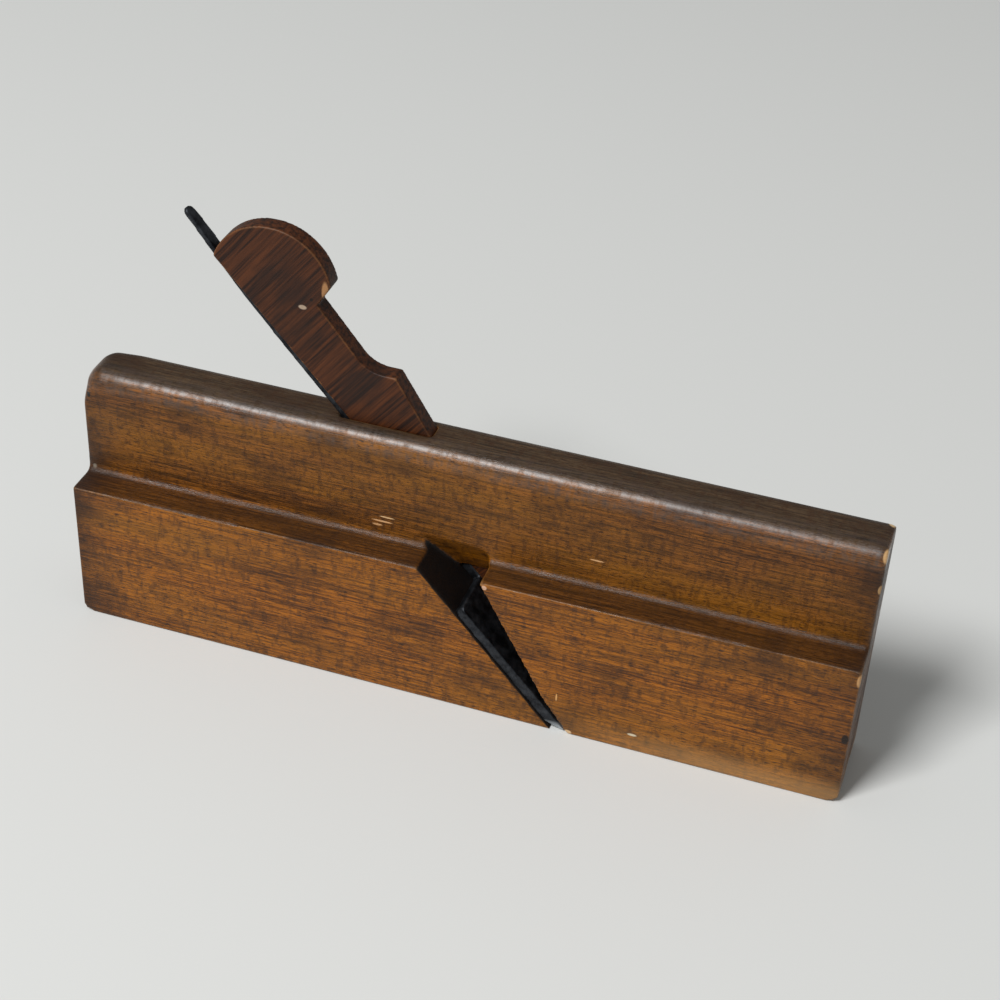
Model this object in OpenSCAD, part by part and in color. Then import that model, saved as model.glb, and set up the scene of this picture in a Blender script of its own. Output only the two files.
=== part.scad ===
// Wooden moulding plane with a stepped stock, a wedge and a T-shaped iron.
// Lengths in millimetres, angles in degrees. +X points to the toe, +Z is up,
// -Y is the side with the shaving escapement, and Z is 0 on the sole.

/* [Stock] */

// Length of the stock from heel to toe
stock_length = 241.3; // [200:0.1:280]
// Height of the stock from sole to top
stock_height = 82.6; // [70:0.1:100]
// Width of the stock at the sole
stock_width = 28; // [22:0.1:48]
// Depth of the recess above the shelf, measured across the stock
recess_depth = 10.8; // [6:0.1:16]
// Height of the shelf at the middle of the stock
shelf_height = 48.2; // [40:0.1:60]
// Rise of the shelf from heel to toe
shelf_rise = 2.2; // [0:0.1:4]
// Radius of the cove where the shelf meets the recessed side
shelf_cove_radius = 2; // [0.5:0.1:5]

/* [Stock edges] */

// Radius along the two long top edges
top_edge_radius = 4.5; // [1:0.1:8]
// Radius across the top of the heel
heel_top_radius = 6; // [1:0.1:12]
// Radius across the top of the toe
toe_top_radius = 1.5; // [0.5:0.1:6]
// Radius across the bottom of the heel
heel_foot_radius = 2.7; // [0.5:0.1:6]
// Radius across the bottom of the toe
toe_foot_radius = 3; // [0.5:0.1:6]

/* [Sole] */

// Radius of the hollow cut along the sole
sole_radius = 22.2; // [15:0.1:40]
// Width of the hollow from edge to edge
sole_chord = 22.2; // [10:0.1:26]

/* [Iron bed and mouth] */

// Distance from the toe back to the foot of the bed
bed_foot_from_toe = 87.05; // [70:0.05:110]
// Slope of the bed from the sole
bed_angle = 48; // [42:0.5:60]
// Gap along the sole between the cutting edge and the front of the mouth
mouth_gap = 0.5; // [0.2:0.1:6]
// Slope of the breast just above the mouth
mouth_angle = 53.5; // [45:0.5:80]
// Height at which the breast turns steeper
breast_knee_height = 11; // [4:0.5:20]
// Height at which the breast meets the abutment
breast_top_height = 51.4; // [40:0.1:60]

/* [Mortise and escapement] */

// Length of the mortise along the top of the stock
mortise_length = 28.2; // [20:0.1:40]
// Slope of the abutment that the wedge bears on
abutment_angle = 57.5; // [50:0.5:70]
// Width of the mortise
mortise_width = 6.3; // [4:0.1:12]
// Thickness of the cheek between the recessed side and the mortise
near_cheek = 6.05; // [4:0.05:10]
// Height of the escapement roof on the recessed side, above the shelf
roof_rise = 4.1; // [1:0.1:10]
// Drop of the pared roof from the recessed side to the mortise
roof_drop = 12.4; // [6:0.1:18]
// Radius of the roof's front corner
roof_corner_radius = 3; // [0.5:0.1:6]
// Thickness of the wall left behind the throat
blind_wall = 2.6; // [1.5:0.1:6]
// Height of the throat roof along the blind wall
throat_back_height = 33; // [20:0.5:44]
// Height of the throat roof where it meets the mortise
throat_front_height = 38; // [24:0.5:48]

/* [Iron] */

// Length of the iron along the bed
iron_length = 186; // [150:0.5:220]
// Thickness of the iron at the cutting edge
iron_edge_thickness = 3.4; // [2:0.1:5]
// Thickness of the iron at the top of its tang
iron_top_thickness = 1.4; // [1:0.1:4]
// Distance of the blade's near edge inside the stock's side
blade_inset = 0.6; // [0:0.1:2]
// Gap between the blade's far edge and the throat wall
blade_back_gap = 0.3; // [0.1:0.1:1]
// Length of the blade up to its near shoulder
blade_length = 46.8; // [30:0.1:60]
// Radius of the blade's near top corner
blade_corner_radius = 2; // [0.5:0.1:5]
// Length of the blade up to the start of its sloping far shoulder
far_shoulder_start = 37; // [20:0.1:50]
// Length of the blade up to the end of its sloping far shoulder
far_shoulder_end = 41; // [24:0.1:56]
// Width of the tang at the shoulder
tang_foot_width = 5.5; // [3:0.1:10]
// Width of the tang at its top
tang_top_width = 3.8; // [2:0.1:10]
// Shift of the tang's top towards the blind side
tang_top_shift = 0.5; // [0:0.1:1]
// Angle of the grinding bevel to the iron's front face
bevel_angle = 30; // [20:1:40]

/* [Wedge] */

// Thickness of the wedge
wedge_thickness = 6; // [4:0.1:12]
// Height of the thin tip of the wedge
wedge_tip_height = 16; // [8:0.5:30]
// Thickness of the tip
wedge_tip_thickness = 1; // [0.5:0.1:3]
// Height of the wedge's level shoulder above the stock
shoulder_rise = 16.9; // [10:0.1:30]
// Length of the level shoulder from the front to the line of the neck
shoulder_length = 8.5; // [4:0.1:14]
// Radius of the cove between the shoulder and the neck
neck_cove_radius = 10; // [3:0.1:12]
// Slope of the neck
neck_angle = 50.4; // [45:0.1:60]
// Length of the neck from the line of the shoulder to the notch
neck_length = 24; // [16:0.1:34]
// Radius of the rounded head
head_radius = 18.6; // [12:0.1:24]
// Distance of the head's centre behind the notch
head_back = 14.1; // [8:0.1:20]
// Height of the head's centre above the notch
head_rise = 2.9; // [0:0.1:8]
// Slope of the cut under the head
notch_angle = 57; // [20:1:80]

/* [Fits] */

// Gap between the wedge and the near wall of the mortise
wedge_play = 0.15; // [0.05:0.01:0.5]
// Gap between the wedge's back and the iron's front face
wedge_back_gap = 0.02; // [0.01:0.01:0.2]
// Gap between the foot of the tang and the near wall of the mortise
tang_play = 0.4; // [0.1:0.01:0.8]

/* [Hidden] */

$fn = 96;

// Length by which a cutting shape runs past the wood it cuts
over = 5;
// Outer size of a cutting shape that has to clear the whole object
reach = 400;

// Stock lines seen from the side
toe_x = stock_length / 2;
heel_x = -toe_x;
near_y = -stock_width / 2;
blind_y = stock_width / 2;
recess_y = near_y + recess_depth;
shelf_slope = atan(shelf_rise / stock_length);

// Sole hollow
sole_depth = sole_radius - sqrt(pow(sole_radius, 2) - pow(sole_chord / 2, 2));
sole_axis_z = sole_depth - sole_radius;

// Bed, and the front face of the iron that lies on it
bed_foot_x = toe_x - bed_foot_from_toe;
function bed_x(z) = bed_foot_x - z / tan(bed_angle);
iron_taper = atan((iron_edge_thickness - iron_top_thickness) / iron_length);
front_angle = bed_angle - iron_taper;
front_foot_x = bed_foot_x + iron_edge_thickness * cos(iron_taper) / sin(front_angle);
function iron_front_x(z) = front_foot_x - z / tan(front_angle);

// Abutment and breast
mortise_front_x = bed_x(stock_height) + mortise_length;
function abutment_x(z) = mortise_front_x + (stock_height - z) / tan(abutment_angle);
mouth_front_x = front_foot_x + mouth_gap;
breast_knee_x = mouth_front_x - breast_knee_height / tan(mouth_angle);
breast_top_x = abutment_x(breast_top_height);

// Mortise and escapement
mortise_near_y = recess_y + near_cheek;
mortise_far_y = mortise_near_y + mortise_width;
roof_z = shelf_height + roof_rise;
throat_back_y = blind_y - blind_wall;

// Iron
blade_near_y = near_y + blade_inset;
blade_far_y = throat_back_y - blade_back_gap;
tang_near_y = mortise_near_y + tang_play;
tang_top_radius = tang_top_width / 2;
tang_top_y = tang_near_y + tang_foot_width / 2 + tang_top_shift;
bevel_slope = front_angle - bevel_angle;
// The bevel looks along its own slope, so the sole's arc is flatter on it
bevel_sag = sole_depth * sin(bevel_angle) / sin(front_angle);
bevel_radius = (pow(sole_chord / 2, 2) + pow(bevel_sag, 2)) / (2 * bevel_sag);

// Wedge
wedge_near_y = mortise_near_y + wedge_play;
shoulder_z = stock_height + shoulder_rise;
neck_foot_x = abutment_x(shoulder_z) - shoulder_length;
notch_x = neck_foot_x - neck_length * cos(neck_angle);
notch_z = shoulder_z + neck_length * sin(neck_angle);
head_x = notch_x - head_back;
head_z = notch_z + head_rise;
function wedge_back_x(z) = iron_front_x(z) + wedge_back_gap / sin(front_angle);

stock();
wedge();
iron();

// A point at a distance from another one, in a given direction
function from_point(point, distance, direction) =
    [point[0] + distance * cos(direction), point[1] + distance * sin(direction)];

// The sliver between a sharp corner and a rounding of it. The two directions
// run from the corner along its sides, anticlockwise by less than half a turn.
module corner_sliver(corner, first, second, radius) {
    half = (second - first) / 2;
    middle = from_point(corner, radius / sin(half), first + half);
    difference() {
        polygon([
            corner,
            from_point(corner, radius / tan(half), first),
            middle,
            from_point(corner, radius / tan(half), second)
        ]);
        translate(middle) circle(r = radius);
    }
}

// Draws an outline of the XZ plane from one Y to another
module side_slab(low_y, high_y) {
    translate([0, high_y, 0])
        rotate([90, 0, 0])
            linear_extrude(height = high_y - low_y)
                children();
}

// Draws an outline of the YZ plane from one X to another
module end_slab(low_x, high_x) {
    translate([low_x, 0, 0])
        rotate([90, 0, 90])
            linear_extrude(height = high_x - low_x)
                children();
}

// Stock seen from the side, with its four rounded ends
module stock_side() {
    difference() {
        translate([heel_x, 0]) square([stock_length, stock_height]);
        corner_sliver([heel_x, 0], 0, 90, heel_foot_radius);
        corner_sliver([toe_x, 0], 90, 180, toe_foot_radius);
        corner_sliver([toe_x, stock_height], 180, 270, toe_top_radius);
        corner_sliver([heel_x, stock_height], 270, 360, heel_top_radius);
    }
}

// Wood taken away above the two long top edges, and along the sole
module long_edge_cuts() {
    end_slab(heel_x - over, toe_x + over) {
        corner_sliver([blind_y, stock_height], 180, 270, top_edge_radius);
        corner_sliver([recess_y, stock_height], 270, 360, top_edge_radius);
        translate([0, sole_axis_z]) circle(r = sole_radius);
    }
}

// Wood taken away above the shelf, which climbs a little towards the toe
module recess_cut() {
    translate([0, 0, shelf_height])
        rotate([0, -shelf_slope, 0])
            end_slab(heel_x - over, toe_x + over)
                difference() {
                    translate([near_y - over, 0])
                        square([recess_depth + over, stock_height]);
                    corner_sliver([recess_y, 0], 90, 180, shelf_cove_radius);
                }
}

// Way through the stock between the bed behind and the breast and abutment in front
module iron_way() {
    polygon([
        [bed_x(-over), -over],
        [mouth_front_x, -over],
        [mouth_front_x, 0],
        [breast_knee_x, breast_knee_height],
        [breast_top_x, breast_top_height],
        [abutment_x(stock_height + over), stock_height + over],
        [bed_x(stock_height + over), stock_height + over]
    ]);
}

// Mortise from the top and the throat below it, seen from the end. The throat
// is open on the near side, under a pared roof, to let the shavings out.
module way_section() {
    polygon([
        [near_y - over, -over],
        [throat_back_y, -over],
        [throat_back_y, throat_back_height],
        [mortise_far_y, throat_front_height],
        [mortise_far_y, stock_height + over],
        [mortise_near_y, stock_height + over],
        [mortise_near_y, roof_z - roof_drop],
        [recess_y, roof_z],
        [near_y - over, roof_z]
    ]);
}

// Mortise, throat and escapement in one cut, with the roof's front corner rounded
module way_cut() {
    difference() {
        intersection() {
            side_slab(near_y - over, throat_back_y) iron_way();
            end_slab(heel_x, toe_x) way_section();
        }
        side_slab(near_y - over, mortise_near_y)
            corner_sliver([abutment_x(roof_z), roof_z], 180, 360 - abutment_angle, roof_corner_radius);
    }
}

// Stepped beech body of the plane, with its mortise, escapement and hollow sole
module stock() {
    color("#7a4320")
        difference() {
            side_slab(near_y, blind_y) stock_side();
            long_edge_cuts();
            recess_cut();
            way_cut();
        }
}

// Outline of the wedge seen from the side
module wedge_side() {
    difference() {
        union() {
            polygon([
                [wedge_back_x(wedge_tip_height), wedge_tip_height],
                [wedge_back_x(wedge_tip_height) + wedge_tip_thickness, wedge_tip_height],
                [breast_top_x, breast_top_height],
                [abutment_x(shoulder_z), shoulder_z],
                [neck_foot_x, shoulder_z],
                [notch_x, notch_z],
                [head_x, head_z],
                [wedge_back_x(head_z), head_z]
            ]);
            corner_sliver([neck_foot_x, shoulder_z], 0, 180 - neck_angle, neck_cove_radius);
            translate([head_x, head_z]) circle(r = head_radius);
        }
        // Wood behind the line of the iron's front face
        polygon([
            [wedge_back_x(shoulder_z), shoulder_z],
            [wedge_back_x(head_z + head_radius), head_z + head_radius],
            [wedge_back_x(shoulder_z) - reach, head_z + head_radius],
            [wedge_back_x(shoulder_z) - reach, shoulder_z]
        ]);
        // Cut under the head
        polygon([
            [notch_x, notch_z],
            from_point([notch_x, notch_z], head_radius, -neck_angle),
            from_point([notch_x, notch_z], reach, (notch_angle - neck_angle) / 2),
            from_point([notch_x, notch_z], head_radius, notch_angle)
        ]);
    }
}

// Wedge that pins the iron's tang in the mortise, with a round head to tap
module wedge() {
    color("#5f3019")
        side_slab(wedge_near_y, wedge_near_y + wedge_thickness) wedge_side();
}

// A point of the side view, from its distance up the bed and out from the bed
function off_bed(up, out) = [
    bed_foot_x - up * cos(bed_angle) + out * sin(bed_angle),
    up * sin(bed_angle) + out * cos(bed_angle)
];

// Iron seen from the side, lying on the bed and getting thinner towards its top
module iron_side() {
    polygon([
        off_bed(-over, 0),
        off_bed(-over, iron_edge_thickness + over * tan(iron_taper)),
        off_bed(iron_length, iron_top_thickness),
        off_bed(iron_length, 0)
    ]);
}

// Iron seen square to the bed: a wide blade below, a narrow rounded tang above
module iron_face() {
    difference() {
        polygon([
            [blade_near_y, -over],
            [blade_far_y, -over],
            [blade_far_y, far_shoulder_start],
            [tang_near_y + tang_foot_width, far_shoulder_end],
            [tang_top_y + tang_top_radius, iron_length - tang_top_radius],
            [tang_top_y - tang_top_radius, iron_length - tang_top_radius],
            [tang_near_y, blade_length],
            [blade_near_y, blade_length]
        ]);
        corner_sliver([blade_near_y, blade_length], 270, 360, blade_corner_radius);
    }
    translate([tang_top_y, iron_length - tang_top_radius]) circle(r = tang_top_radius);
}

// Metal ground away below the bevel, which follows the hollow of the sole
module bevel_cut() {
    translate([front_foot_x, 0, 0])
        rotate([0, bevel_slope, 0])
            end_slab(-reach / 4, reach / 4) {
                translate([near_y, -reach / 4]) square([stock_width, reach / 4]);
                translate([0, bevel_sag - bevel_radius]) circle(r = bevel_radius);
            }
}

// Steel iron with a tang for the wedge and a cutting edge that fits the sole
module iron() {
    color("#3c4045")
        difference() {
            intersection() {
                side_slab(near_y, blind_y) iron_side();
                translate([bed_foot_x, 0, 0])
                    rotate([0, bed_angle - 90, 0])
                        end_slab(-over, iron_edge_thickness + over) iron_face();
            }
            bevel_cut();
        }
}
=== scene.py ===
from math import cos, radians, sin

import bpy
import numpy as np
from mathutils import Matrix, Vector


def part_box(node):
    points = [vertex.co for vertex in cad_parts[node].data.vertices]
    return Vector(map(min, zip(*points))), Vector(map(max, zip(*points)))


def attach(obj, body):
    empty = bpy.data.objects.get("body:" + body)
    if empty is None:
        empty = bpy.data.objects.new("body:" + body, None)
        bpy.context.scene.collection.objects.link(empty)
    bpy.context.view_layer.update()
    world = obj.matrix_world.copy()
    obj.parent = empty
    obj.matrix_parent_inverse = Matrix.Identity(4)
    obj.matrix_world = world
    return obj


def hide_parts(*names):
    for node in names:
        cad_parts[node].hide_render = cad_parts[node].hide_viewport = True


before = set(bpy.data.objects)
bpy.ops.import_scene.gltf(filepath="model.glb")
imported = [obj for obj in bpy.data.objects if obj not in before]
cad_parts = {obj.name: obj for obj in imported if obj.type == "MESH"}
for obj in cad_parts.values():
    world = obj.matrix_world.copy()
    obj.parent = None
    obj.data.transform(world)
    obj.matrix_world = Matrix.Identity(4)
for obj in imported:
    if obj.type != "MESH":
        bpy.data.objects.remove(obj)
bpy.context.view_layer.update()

# Stock: one block of beech with a step planed along its near side, and a sloping mortise
# chopped through it for the iron and the wedge. Handling has rounded its top and its heel,
# and has darkened it from honey brown low down to grey-brown along the top.

scene = bpy.context.scene
heel, near_face, sole = 1000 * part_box("stock")[0]
toe, blind_face, top = 1000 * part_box("stock")[1]
recess_depth = 10.8
recess_face = near_face + recess_depth
shelf = 48.2
bed_angle = radians(48)
bed_from_toe = 87.05

side_round = 1.0
top_round = 3.6
heel_round = 1.6
toe_round = 2.0
top_wear_starts = top - 12.6
top_wear_full = top - 2.6
heel_wear_starts = heel + 14.65
heel_wear_full = heel + 1.65
above_cove = shelf + 3.8


def worn_copy(node, name, cell, passes):
    """A copy of a solid part on even cells of a size in millimetres, with its arrises rubbed down."""
    piece = node.copy()
    piece.data = node.data.copy()
    piece.name = name
    scene.collection.objects.link(piece)
    remesh = piece.modifiers.new("cells", "REMESH")
    remesh.mode = "VOXEL"
    remesh.voxel_size = cell / 1000
    rub = piece.modifiers.new("rub", "SMOOTH")
    rub.factor = 0.5
    rub.iterations = passes
    shape = bpy.data.meshes.new_from_object(piece.evaluated_get(bpy.context.evaluated_depsgraph_get()))
    piece.modifiers.clear()
    piece.data = shape
    piece.data.name = name
    piece.data.materials.clear()
    piece.data.shade_smooth()
    return piece


def read_points(piece):
    """The piece's vertices in millimetres."""
    flat = np.empty(3 * len(piece.data.vertices))
    piece.data.vertices.foreach_get("co", flat)
    return flat.reshape(-1, 3) * 1000


def write_points(piece, points):
    """Moves the piece's vertices to points in millimetres."""
    piece.data.vertices.foreach_set("co", (points / 1000).ravel())
    piece.data.update()


def smooth_step(value, low, high):
    """0 below low, 1 above high and an even curve between them."""
    part = np.clip((value - low) / (high - low), 0, 1)
    return part * part * (3 - 2 * part)


# Above the cove, a point that lies outside a box with rounded edges is drawn in to it.
# The rounding is largest along the top at the heel, where the hand pushes.
stock = worn_copy(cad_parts["stock"], "worn_stock", cell=0.7, passes=4)
points = read_points(stock)
at_top = smooth_step(points[:, 2], top_wear_starts, top_wear_full)
at_heel = 1 - smooth_step(points[:, 0], heel_wear_full, heel_wear_starts)
rounding = side_round + at_top * (top_round + heel_round * at_heel)
low = np.array([heel, recess_face, sole]) + rounding[:, None]
high = np.array([toe, blind_face, top]) - rounding[:, None]
high[:, 0] = toe - np.minimum(rounding, toe_round)
inner = np.clip(points, low, high)
inner[:, 2] = np.minimum(points[:, 2], high[:, 2])
reach = points - inner
distance = np.maximum(np.linalg.norm(reach, axis=1), 1e-6)
outside = (points[:, 2] > above_cove) & (distance > rounding)
points[outside] = (inner + reach * (rounding / distance)[:, None])[outside]
write_points(stock, points)


def colour(code):
    """A linear colour from an sRGB hex code."""
    parts = [int(code[digit : digit + 2], 16) / 255 for digit in (1, 3, 5)]
    return [part / 12.92 if part <= 0.04045 else ((part + 0.055) / 1.055) ** 2.4 for part in parts] + [1]


def fill(node, inputs):
    """Fills a node's inputs with values, or links them to sockets or to the outputs of other nodes."""
    for key, value in inputs.items():
        if isinstance(value, bpy.types.Node):
            value = next(output for output in value.outputs if output.enabled)
        if isinstance(value, bpy.types.NodeSocket):
            node.id_data.links.new(value, node.inputs[key])
        else:
            node.inputs[key].default_value = value


def add_node(tree, kind, inputs=None, **settings):
    """Adds a shader node with its settings, and fills its inputs."""
    node = tree.nodes.new(kind)
    for name, value in settings.items():
        setattr(node, name, value)
    fill(node, inputs or {})
    return node


def new_material(name):
    """An empty node material, with its nodes and its main shader."""
    material = bpy.data.materials.new(name)
    material.use_nodes = True
    tree = material.node_tree
    return material, tree, tree.nodes["Principled BSDF"]


def place_on(tree):
    """The place on the object, in millimetres."""
    metres = add_node(tree, "ShaderNodeTexCoord").outputs["Object"]
    return add_node(tree, "ShaderNodeVectorMath", {"Vector": metres, "Scale": 1000}, operation="SCALE")


def pattern(tree, place, size, detail=4, roughness=0.55):
    """A noise value whose marks have the given size along X, Y and Z, in millimetres."""
    repeats = add_node(tree, "ShaderNodeVectorMath", {0: place, 1: size}, operation="DIVIDE")
    values = {"Vector": repeats, "Scale": 1, "Detail": detail, "Roughness": roughness}
    return add_node(tree, "ShaderNodeTexNoise", values)


def amount(tree, *bands, strength=1.0):
    """The product of several bands. Each is a value, where it starts to count and where it counts in full.

    A band goes from 0 to 1, or between two levels given after it, and is held at both ends.
    """
    product = None
    for value, start, full, *levels in bands:
        least, most = levels or (0.0, 1.0)
        spread = {"Value": value, "From Min": start, "From Max": full, "To Min": least, "To Max": most}
        band = add_node(tree, "ShaderNodeMapRange", spread)
        if product is None:
            product = band
        else:
            product = add_node(tree, "ShaderNodeMath", {0: product, 1: band}, operation="MULTIPLY")
    if strength != 1.0:
        product = add_node(tree, "ShaderNodeMath", {0: product, 1: strength}, operation="MULTIPLY")
    return product


# The places of the factor and of the two colours among a mixing node's inputs.
MIX_FACTOR, MIX_UNDER, MIX_OVER = 0, 6, 7


def painted(tree, base, *coats):
    """The base with coats laid over it in turn, each given as how much of it shows and its colour."""
    for shows, shade in coats:
        values = {MIX_FACTOR: shows, MIX_UNDER: base, MIX_OVER: shade}
        base = add_node(tree, "ShaderNodeMix", values, data_type="RGBA")
    return base


def spot_at(tree, place, centre, radii, strength=1.0):
    """Full at a spot, and fading to nothing at the edge of an ellipsoid round it, in millimetres."""
    away = add_node(tree, "ShaderNodeVectorMath", {0: place, 1: centre}, operation="SUBTRACT")
    shares = add_node(tree, "ShaderNodeVectorMath", {0: away, 1: radii}, operation="DIVIDE")
    distance = add_node(tree, "ShaderNodeVectorMath", {0: shares}, operation="LENGTH")
    return amount(tree, (distance, 1.0, 0.7), strength=strength)


# Oiled beech: a satin sheen over long streaks, with the short dark flecks that mark beech.
beech, tree, shader = new_material("oiled beech")
place = place_on(tree)
spot = add_node(tree, "ShaderNodeSeparateXYZ", {0: place}).outputs
surface = add_node(tree, "ShaderNodeNewGeometry").outputs
normal = add_node(tree, "ShaderNodeSeparateXYZ", {0: surface["Normal"]}).outputs
edge = surface["Pointiness"]
from_middle = add_node(tree, "ShaderNodeMath", {0: spot["X"]}, operation="ABSOLUTE")

# Marks in the wood, sized along the grain, across the block and up it.
broad = pattern(tree, place, (125, 20, 20), detail=4, roughness=0.6)
streaks = pattern(tree, place, (20, 0.7692, 0.6667), detail=6, roughness=0.75)
flecks = pattern(tree, place, (2.5, 0.3571, 0.3333), detail=3, roughness=0.6)
patches = pattern(tree, place, (28.57, 12.5, 12.5), detail=6, roughness=0.68)
figure = pattern(tree, place, (1.6667, 4, 4), detail=3, roughness=0.6)

# The dark and the light of the streaks, on each part of the block.
streaked = {}
for part, dark, light, start, full in (
    ("lower side", "#4a2400", "#a8620c", 0.4, 0.6),
    ("upper side", "#321a02", "#875018", 0.4, 0.6),
    ("top", "#20160c", "#55402a", 0.36, 0.64),
    ("shelf", "#1a0e03", "#5a3614", 0.36, 0.64),
):
    streaked[part] = painted(tree, colour(dark), (amount(tree, (streaks, start, full)), colour(light)))

on_upper_side = amount(tree, (spot["Z"], shelf - 0.7, shelf + 2.3))
on_top = amount(tree, (normal["Z"], 0.6, 0.93), (spot["Z"], top - 4.6, top - 1.6))
# The shelf's darker streaks cover the shelf and reach up into the cove above it; in the cove they are painted
# shade.
shelf_with_cove_shade = amount(tree, (normal["Z"], 0.25, 0.8), (spot["Z"], above_cove + 4, above_cove), strength=0.85)
at_ends = amount(tree, (from_middle, toe - 16.65, toe - 0.15), (patches, 0.3, 0.6, 0.2, 0.75))
wood = painted(
    tree,
    streaked["lower side"],
    (on_upper_side, streaked["upper side"]),
    (amount(tree, (broad, 0.42, 0.62), strength=0.45), colour("#98610f")),
    (on_top, streaked["top"]),
    (shelf_with_cove_shade, streaked["shelf"]),
    (amount(tree, (patches, 0.5, 0.68), strength=0.7), colour("#2e1a0a")),
    (amount(tree, (figure, 0.5, 0.64), strength=0.5), colour("#3a210b")),
    (amount(tree, (flecks, 0.54, 0.63), strength=0.85), colour("#2a1505")),
    (at_ends, colour("#24130a")),
)

# Bare wood shows along the worn arrises, painted shade darkens the corners, and the foot of the toe is rubbed
# pale.
worn = amount(tree, (edge, 0.53, 0.6), (patches, 0.62, 0.42), strength=0.75)
# Painted shade: the hollows and inner corners, where the surface turns inward, are darkened.
hollow_shade = amount(tree, (edge, 0.485, 0.44), strength=0.8)
rubbed_foot = amount(tree, (spot["Z"], 9, 3), (spot["X"], 30, 80), strength=0.45)
wood = painted(
    tree, wood, (worn, colour("#c9965c")), (hollow_shade, colour("#1c0f05")), (rubbed_foot, colour("#b58a58"))
)

# Scratches on the recess, chips along the arrises and at the toe, and old putty in the cove at the heel.
for centre, radii, shade in (
    ((-24.5, recess_face, 53.5), (3.6, 1.0, 0.35), "#d0a070"),
    ((-23.0, recess_face, 55.2), (2.6, 1.0, 0.3), "#d8b080"),
    ((-26.0, recess_face, 52.0), (1.8, 1.0, 0.4), "#c89868"),
    ((41.0, recess_face, 57.6), (2.4, 1.0, 0.3), "#cfa070"),
    ((35.0, near_face, 12.9), (0.3, 1.0, 1.6), "#cf9a5c"),
    ((58.7, near_face, 5.9), (1.6, 1.0, 0.5), "#cdc0a4"),
    ((11.1, near_face, 46.9), (0.9, 1.0, 0.9), "#caa083"),
    ((-118.8, recess_face, 74.4), (0.9, 1.5, 0.9), "#120a05"),
    ((119.4, near_face, 24.3), (1.2, 1.5, 2.0), "#1d1006"),
    ((-118.5, -5.0, 49.0), (1.6, 2.0, 1.4), "#a09a8c"),
    ((120.4, -1.5, 80.5), (1.2, 2.4, 2.2), "#c39a68"),
    ((119.6, 12.0, 82.4), (1.4, 2.2, 1.2), "#d2b284"),
    ((120.6, -3.0, 70.0), (0.9, 1.2, 1.8), "#b08a5c"),
    ((120.4, -13.6, 46.0), (1.0, 1.2, 2.6), "#b98c5a"),
    ((39.2, near_face, 0.6), (1.4, 1.5, 0.9), "#d8b488"),
):
    wood = painted(tree, wood, (spot_at(tree, place, centre, radii), colour(shade)))

# The bed is stained blue-black where the iron has lain on it.
bed_foot = (toe - bed_from_toe, 0, 0)
bed_normal = (sin(bed_angle), 0, cos(bed_angle))
from_foot = add_node(tree, "ShaderNodeVectorMath", {0: place, 1: bed_foot}, operation="SUBTRACT")
off_bed = add_node(tree, "ShaderNodeVectorMath", {0: from_foot, 1: bed_normal}, operation="DOT_PRODUCT")
from_bed = add_node(tree, "ShaderNodeMath", {0: off_bed}, operation="ABSOLUTE")
stained = amount(tree, (from_bed, 1.2, 0.5), (normal["X"], 0.3, 0.6), strength=0.95)
wood = painted(tree, wood, (stained, colour("#0d1012")))

# Handling has polished the near round-over of the top, and the open grain shows in that shine.
polished = amount(
    tree,
    (spot["Z"], top - 7.1, top - 4.1),
    (spot["Y"], recess_face + 7.2, recess_face + 4.2),
    (figure, 0.35, 0.6, 0.3, 1.0),
)
grain_depth = 0.24
relief = add_node(tree, "ShaderNodeMath", {0: streaks, 1: flecks}, operation="SUBTRACT")
fill(
    shader,
    {
        "Base Color": wood,
        "Roughness": amount(tree, (patches, 0.35, 0.7, 0.26, 0.5)),
        "Specular IOR Level": 0.3,
        "Coat Weight": polished,
        "Coat Roughness": 0.36,
        "Normal": add_node(
            tree, "ShaderNodeBump", {"Height": relief, "Distance": grain_depth / 1000, "Strength": 0.6}
        ),
    },
)
stock.data.materials.append(beech)
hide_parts("stock")
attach(stock, "stock")

# Iron: one forging of steel, a wide blade drawn down at a shoulder to a narrow tang. It lies
# on the bed with the wedge on top of it. The tang's free end leans forward, which takes it
# about a millimetre into the back of the wedge's head.

tip_lean = 2.4
lean_starts = 112
lean_full = 139

iron = worn_copy(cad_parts["iron"], "worn_iron", cell=0.35, passes=2)
points = read_points(iron)
points[:, 0] += tip_lean * smooth_step(points[:, 2], lean_starts, lean_full)
write_points(iron, points)

# Forged steel, dark with age: nearly black with a soft uneven shine, and bright at the ground edge.
steel, tree, shader = new_material("forged steel")
place = place_on(tree)
height = add_node(tree, "ShaderNodeSeparateXYZ", {0: place}).outputs["Z"]
rust = pattern(tree, place, (3.3333, 3.3333, 3.3333), detail=6, roughness=0.7)
metal = painted(
    tree,
    colour("#1c1e22"),
    (amount(tree, (rust, 0.4, 0.65)), colour("#43464b")),
    (amount(tree, (height, 3, 1)), colour("#b9bfc4")),
)
fill(
    shader,
    {"Base Color": metal, "Metallic": 0.85, "Roughness": amount(tree, (rust, 0.35, 0.7, 0.34, 0.6))},
)
iron.data.materials.append(steel)
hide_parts("iron")
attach(iron, "iron")

# Wedge: a slip of darker, redder beech, sawn with a round head for the mallet and a neck
# that steps down to a level shoulder. It is tapped in on top of the iron and held by its taper.

wedge_face = 1000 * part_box("wedge")[0].y
wedge_grain_slope = radians(50.42)
wedge_grain_depth = 0.2

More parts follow.
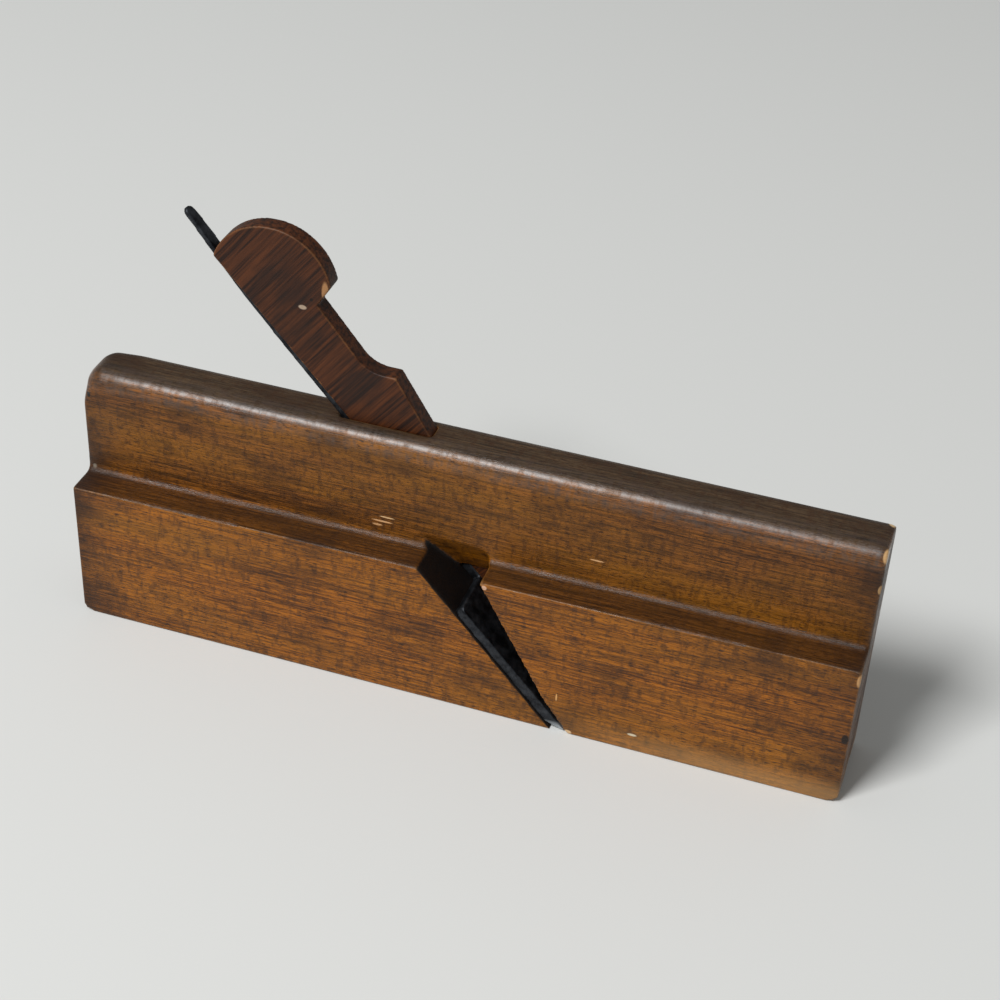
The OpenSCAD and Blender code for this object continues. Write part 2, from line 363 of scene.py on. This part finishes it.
# Stained beech: dull, with pale wood where its arrises are rubbed. Its streaks run across the
# wedge, which is a fault: the real grain runs along it.
wedge = worn_copy(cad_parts["wedge"], "worn_wedge", cell=0.4, passes=4)
stained_beech, tree, shader = new_material("stained beech")
place = place_on(tree)
turned = add_node(tree, "ShaderNodeMapping", {"Vector": place, "Rotation": (0, wedge_grain_slope, 0)})
edge = add_node(tree, "ShaderNodeNewGeometry").outputs["Pointiness"]
streaks = pattern(tree, turned, (33.33, 1.4286, 1.1111), detail=5, roughness=0.65)
patches = pattern(tree, turned, (20, 10, 10))
wood = painted(
    tree,
    colour("#200c03"),
    (amount(tree, (streaks, 0.38, 0.62)), colour("#522a10")),
    (amount(tree, (patches, 0.5, 0.66), strength=0.6), colour("#1a0f0b")),
    (amount(tree, (edge, 0.52, 0.6), (patches, 0.6, 0.45), strength=0.7), colour("#a8754a")),
)
for centre, radii, shade in (
    ((-44.6, wedge_face, 122.5), (1.2, 1.5, 4.0), "#a87a50"),
    ((-51.5, wedge_face, 116.5), (1.4, 1.0, 0.8), "#b09a84"),
    ((-48.8, wedge_face, 119.5), (0.6, 1.0, 0.6), "#120a06"),
):
    shows = spot_at(tree, place, centre, radii, strength=0.85)
    wood = painted(tree, wood, (shows, colour(shade)))
fill(
    shader,
    {
        "Base Color": wood,
        "Roughness": 0.5,
        "Specular IOR Level": 0.25,
        "Normal": add_node(
            tree, "ShaderNodeBump", {"Height": streaks, "Distance": wedge_grain_depth / 1000, "Strength": 0.4}
        ),
    },
)
wedge.data.materials.append(stained_beech)
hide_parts("wedge")
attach(wedge, "wedge")

# Floor: a plain studio floor that the plane stands on, in metres. It is painted a matt pale
# grey without shine, and lies a hair below the sole so that the two faces don't fall together.

floor_size = 60
floor_drop = 0.0002
bpy.ops.mesh.primitive_plane_add(size=floor_size, location=(0, 0, -floor_drop))
floor = bpy.context.object
floor.name = "floor"
matt_paint, tree, shader = new_material("matt paint")
fill(shader, {"Base Color": colour("#d9dad8"), "Roughness": 0.8})
floor.data.materials.append(matt_paint)

# Light: one broad soft lamp from the upper left in front, in metres and watts, and an even
# pale sky all round, which the camera sees as white.

lamp_power = 76
lamp_size = 0.9
lamp_place = Vector((-0.85, -1.5, 2.25))
lamp_target = Vector((0, 0, 0.04))
sky_strength = 0.4
white = (1, 1, 1, 1)

lamp_data = bpy.data.lights.new("lamp", "AREA")
lamp_data.energy = lamp_power
lamp_data.size = lamp_size
lamp = bpy.data.objects.new("lamp", lamp_data)
lamp.location = lamp_place
lamp.rotation_euler = (lamp_target - lamp_place).to_track_quat("-Z", "Y").to_euler()
scene.collection.objects.link(lamp)

world = bpy.data.worlds.new("studio")
world.use_nodes = True
tree = world.node_tree
seen = add_node(tree, "ShaderNodeLightPath").outputs["Is Camera Ray"]
fill(
    tree.nodes["Background"],
    {
        "Color": painted(tree, colour("#d2d3d2"), (seen, white)),
        "Strength": amount(tree, (seen, 0, 1, sky_strength, 1.0)),
    },
)
scene.world = world
scene.view_settings.view_transform = "Standard"

# Camera: the viewpoint of the photograph, found from the stock's edges. It is turned from
# square on to the near side, tipped up from looking straight down, and rolled a little.

camera_place = (0.1458, -0.4483, 0.4063)
turn = radians(16.822)
tip = radians(54.196)
roll = radians(3.058)
camera_data = bpy.data.cameras.new("camera")
camera_data.sensor_width = 36
camera_data.lens = 72.6
camera_data.clip_start = 0.01
camera = bpy.data.objects.new("camera", camera_data)
camera.matrix_world = (
    Matrix.Translation(camera_place)
    @ Matrix.Rotation(turn, 4, "Z")
    @ Matrix.Rotation(tip, 4, "X")
    @ Matrix.Rotation(roll, 4, "Z")
)
scene.collection.objects.link(camera)
scene.camera = camera
